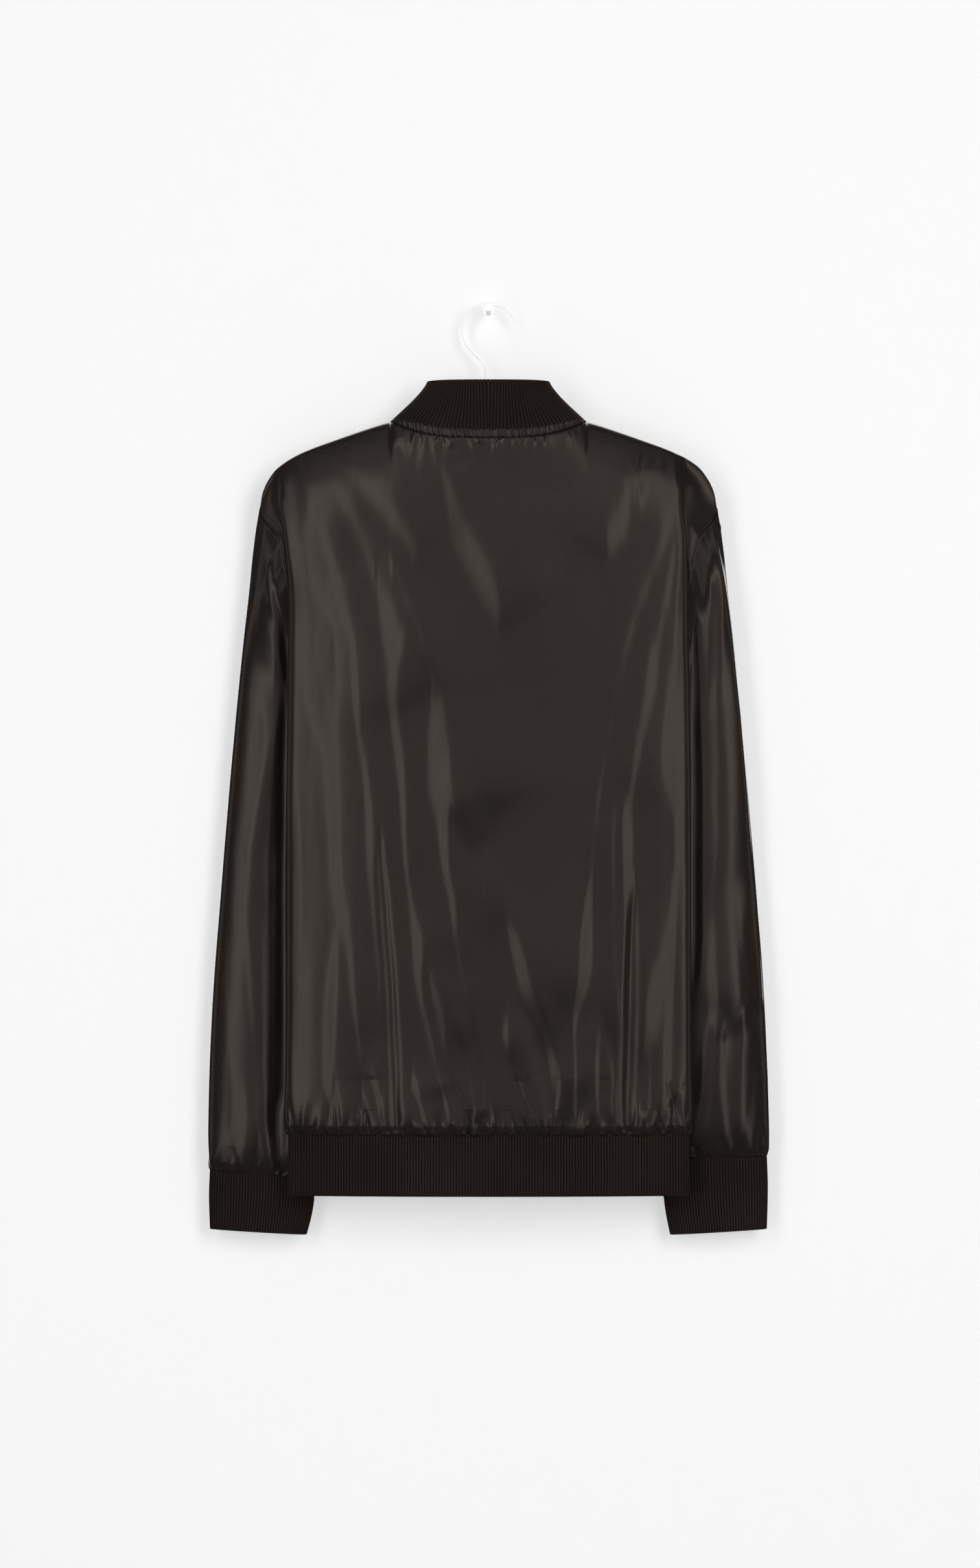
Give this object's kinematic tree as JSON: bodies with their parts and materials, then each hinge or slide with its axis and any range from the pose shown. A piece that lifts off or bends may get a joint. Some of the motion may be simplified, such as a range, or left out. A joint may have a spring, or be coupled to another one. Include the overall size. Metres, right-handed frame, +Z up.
{
  "type": "bomber jacket on hanger and wall peg",
  "caption": "Dark satin bomber jacket with ribbed knit collar, cuffs and hem, hung with its back to the room on a white wire-hook hanger over a small round wall peg.",
  "frame": {"origin": "centre of the peg's flat end on the wall, where the part is held", "axes": "+Z up, +Y into the wall, so the room side, which shows the jacket's back, faces -Y; +X to the wearer's right"},
  "size_m": [0.5066, 0.0783, 0.8427],
  "materials": {
    "satin": "dark brown-black satin, soft sheen",
    "rib_knit": "near-black ribbed knit, matt",
    "zip_tape": "black woven zip tape",
    "zip_metal": "dark gunmetal",
    "white_metal": "white coated metal, satin"
  },
  "bodies": {
    "jacket": {"back": "satin", "front_left": "satin", "front_right": "satin", "sleeve_left": "satin", "sleeve_right": "satin", "collar": "rib_knit", "neck_casing": "satin", "hem_rib": "rib_knit", "cuff_left": "rib_knit", "cuff_right": "rib_knit", "zip_tape_left": "zip_tape", "zip_tape_right": "zip_tape", "zip_slider": "zip_metal", "hanger_hook": "white_metal", "hanger_arms": "white_metal", "wall_peg": "white_metal"},
    "zip_pull": {"zip_pull": "zip_metal"}
  },
  "joints": [
    {"name": "zip_pull_swing", "type": "hinge", "parent": "jacket", "child": "zip_pull", "pos_m": [0, -0.00775, -0.18], "axis": [1, 0, 0], "range_deg": [0, 170]}
  ]
}
